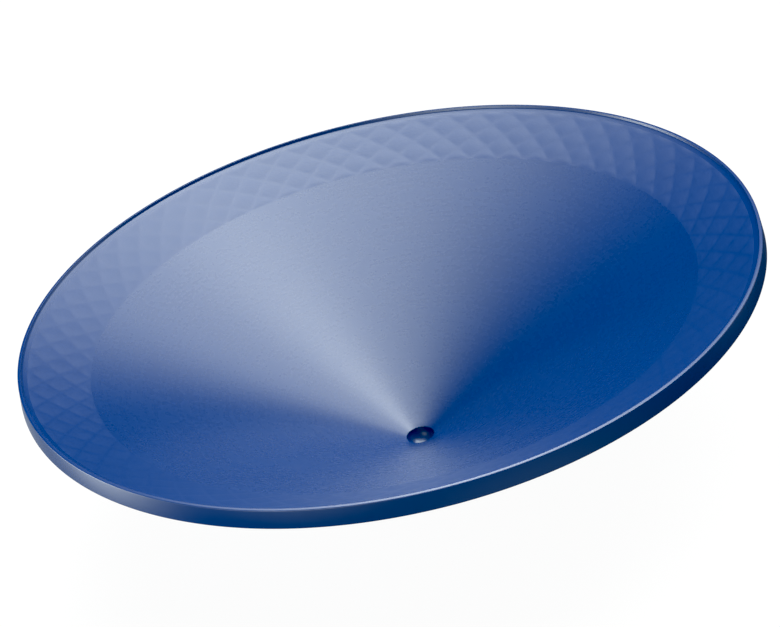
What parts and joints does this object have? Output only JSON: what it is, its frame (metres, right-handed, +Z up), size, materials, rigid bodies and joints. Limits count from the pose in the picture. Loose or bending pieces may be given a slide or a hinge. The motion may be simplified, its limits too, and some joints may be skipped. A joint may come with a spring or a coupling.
{
  "type": "juggling spinning plate",
  "caption": "Round conical plastic plate, hollow side up, with a ball-ended centre socket for a stick's tip, a diamond-patterned grip band inside the rim and a narrow upright edge.",
  "frame": {"origin": "centre of the flat foot under the centre socket, on the surface that the plate stands on", "axes": "+Z up along the plate's axis, out of the hollow side and the socket's mouth; X and Y are any two radii at right angles, because the plate is round"},
  "size_m": [0.2414, 0.2414, 0.0679],
  "materials": {
    "grained_face_plastic": "royal blue polypropylene with a fine moulded grain",
    "satin_edge_plastic": "royal blue polypropylene, satin from a smoother mould face"
  },
  "bodies": {
    "root": {"tip_boss": "grained_face_plastic", "cone_shell": "grained_face_plastic", "grip_band": "grained_face_plastic", "rim_wall": "satin_edge_plastic", "rim_lip": "satin_edge_plastic"}
  },
  "joints": []
}
